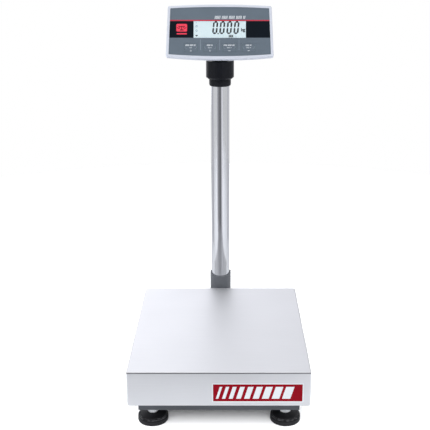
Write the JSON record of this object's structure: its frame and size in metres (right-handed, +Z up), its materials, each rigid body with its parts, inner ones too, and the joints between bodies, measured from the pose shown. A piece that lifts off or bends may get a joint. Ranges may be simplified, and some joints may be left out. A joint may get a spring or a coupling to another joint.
{
  "type": "bench scale",
  "caption": "Bench scale: brushed steel pan on a framed base with levelling feet, a rear column and a tilting, swivelling keypad display.",
  "frame": {"origin": "on the floor under the feet, at the middle of the whole object's box seen from above, so the pan's middle is 34.65 mm in front of it", "axes": "+Z up, the front with the display faces -Y, +X to the right seen from the front"},
  "size_m": [0.305, 0.4243, 0.676],
  "materials": {
    "pan_steel": "fine brushed stainless steel",
    "column_steel": "polished stainless steel tube",
    "painted_steel": "dark grey powder coat",
    "bracket_paint": "mid grey powder coat",
    "aluminium": "machined and cast aluminium",
    "zinc": "bright zinc-plated steel",
    "rubber": "matt black rubber",
    "black_plastic": "moulded black, fine texture",
    "level_glass": "clear, green-tinted vial",
    "display_glass": "clear gloss window",
    "cable_jacket": "flexible black jacket",
    "case_plastic": "light grey moulding, fine texture",
    "overlay": "velvet-grain printed film",
    "display": "pale backlit display",
    "circuit_board": "green solder mask",
    "battery": "shrink-wrapped cells"
  },
  "bodies": {
    "base": {"base_frame": "painted_steel", "load_cell": "aluminium", "cell_spacer_lower": "zinc", "cell_bolt_lower_1": "zinc", "cell_bolt_lower_2": "zinc", "overload_stop_1": "zinc", "overload_stop_2": "zinc", "overload_stop_3": "zinc", "overload_stop_4": "zinc", "level_cup": "black_plastic", "level_vial": "level_glass", "column_bracket": "bracket_paint", "bracket_bolt_left": "zinc", "bracket_bolt_right": "zinc", "column_strap": "bracket_paint", "column_screw_lower": "zinc", "column_screw_upper": "zinc", "column_tube": "column_steel", "load_cell_cable": "cable_jacket"},
    "load_carrier": {"load_carrier": "aluminium", "cell_spacer_upper": "zinc", "cell_bolt_upper_1": "zinc", "cell_bolt_upper_2": "zinc", "pan_pad_1": "rubber", "pan_pad_2": "rubber", "pan_pad_3": "rubber", "pan_pad_4": "rubber"},
    "platform_cover": {"platform_cover": "pan_steel"},
    "foot_front_left": {"foot_pad_front_left": "rubber"},
    "stud_front_left": {"foot_stud_front_left": "zinc"},
    "foot_front_right": {"foot_pad_front_right": "rubber"},
    "stud_front_right": {"foot_stud_front_right": "zinc"},
    "foot_rear_left": {"foot_pad_rear_left": "rubber"},
    "stud_rear_left": {"foot_stud_rear_left": "zinc"},
    "foot_rear_right": {"foot_pad_rear_right": "rubber"},
    "stud_rear_right": {"foot_stud_rear_right": "zinc"},
    "clamp_ring": {"clamp_ring": "black_plastic"},
    "swivel_head": {"column_collar": "black_plastic", "tilt_yoke": "black_plastic", "tilt_pin": "zinc"},
    "collar_screw": {"collar_screw": "black_plastic"},
    "indicator": {"front_bezel": "case_plastic", "overlay_film": "overlay", "display_window": "display_glass", "lcd_module": "display", "main_board": "circuit_board", "battery_pack": "battery", "rear_shell": "case_plastic", "battery_door": "case_plastic", "door_screw": "zinc", "case_screw_1": "zinc", "case_screw_2": "zinc", "case_screw_3": "zinc", "case_screw_4": "zinc", "power_socket": "black_plastic"},
    "key_1": {"key_1": "overlay"},
    "key_2": {"key_2": "overlay"},
    "key_3": {"key_3": "overlay"},
    "key_4": {"key_4": "overlay"}
  },
  "joints": [
    {"name": "platform_travel", "type": "slide", "parent": "base", "child": "load_carrier", "axis": [0, 0, -1], "range_m": [0, 0.0005], "stiffness_N_per_m": 150000, "springref_m": -0.0005, "deforming": ["load_cell"]},
    {"name": "pan_lift", "type": "slide", "parent": "load_carrier", "child": "platform_cover", "axis": [0, 0, 1], "range_m": [0, 0.09]},
    {"name": "foot_front_left_height", "type": "slide", "parent": "base", "child": "foot_front_left", "axis": [0, 0, 1], "range_m": [-0.009, 0.006]},
    {"name": "foot_front_left_turn", "type": "hinge", "parent": "foot_front_left", "child": "stud_front_left", "pos_m": [-0.114, -0.16715, 0.0165], "axis": [0, 0, 1], "range_deg": [-2160, 1440]},
    {"name": "foot_front_right_height", "type": "slide", "parent": "base", "child": "foot_front_right", "axis": [0, 0, 1], "range_m": [-0.009, 0.006]},
    {"name": "foot_front_right_turn", "type": "hinge", "parent": "foot_front_right", "child": "stud_front_right", "pos_m": [0.114, -0.16715, 0.0165], "axis": [0, 0, 1], "range_deg": [-2160, 1440]},
    {"name": "foot_rear_left_height", "type": "slide", "parent": "base", "child": "foot_rear_left", "axis": [0, 0, 1], "range_m": [-0.009, 0.006]},
    {"name": "foot_rear_left_turn", "type": "hinge", "parent": "foot_rear_left", "child": "stud_rear_left", "pos_m": [-0.114, 0.09785, 0.0165], "axis": [0, 0, 1], "range_deg": [-2160, 1440]},
    {"name": "foot_rear_right_height", "type": "slide", "parent": "base", "child": "foot_rear_right", "axis": [0, 0, 1], "range_m": [-0.009, 0.006]},
    {"name": "foot_rear_right_turn", "type": "hinge", "parent": "foot_rear_right", "child": "stud_rear_right", "pos_m": [0.114, 0.09785, 0.0165], "axis": [0, 0, 1], "range_deg": [-2160, 1440]},
    {"name": "clamp_ring_turn", "type": "hinge", "parent": "base", "child": "clamp_ring", "pos_m": [0, 0.17085, 0.5287], "axis": [0, 0, 1], "range_deg": [-90, 0]},
    {"name": "indicator_swivel", "type": "hinge", "parent": "base", "child": "swivel_head", "pos_m": [0, 0.17085, 0.5537], "axis": [0, 0, 1], "range_deg": [-90, 90]},
    {"name": "collar_screw_turn", "type": "hinge", "parent": "swivel_head", "child": "collar_screw", "pos_m": [0, 0.20085, 0.555], "axis": [0, 1, 0], "range_deg": [-360, 0]},
    {"name": "indicator_tilt", "type": "hinge", "parent": "swivel_head", "child": "indicator", "pos_m": [0, 0.17085, 0.6037], "axis": [1, 0, 0], "range_deg": [-35, 5]},
    {"name": "key_1_press", "type": "slide", "parent": "indicator", "child": "key_1", "axis": [0, 0.9511, -0.309], "range_m": [0, 0.0005], "stiffness_N_per_m": 4000},
    {"name": "key_2_press", "type": "slide", "parent": "indicator", "child": "key_2", "axis": [0, 0.9511, -0.309], "range_m": [0, 0.0005], "stiffness_N_per_m": 4000},
    {"name": "key_3_press", "type": "slide", "parent": "indicator", "child": "key_3", "axis": [0, 0.9511, -0.309], "range_m": [0, 0.0005], "stiffness_N_per_m": 4000},
    {"name": "key_4_press", "type": "slide", "parent": "indicator", "child": "key_4", "axis": [0, 0.9511, -0.309], "range_m": [0, 0.0005], "stiffness_N_per_m": 4000}
  ],
  "couplings": [
    {"joint": "foot_front_left_turn", "follows": "foot_front_left_height", "rad_per_m": 4188.8},
    {"joint": "foot_front_right_turn", "follows": "foot_front_right_height", "rad_per_m": 4188.8},
    {"joint": "foot_rear_left_turn", "follows": "foot_rear_left_height", "rad_per_m": 4188.8},
    {"joint": "foot_rear_right_turn", "follows": "foot_rear_right_height", "rad_per_m": 4188.8}
  ]
}
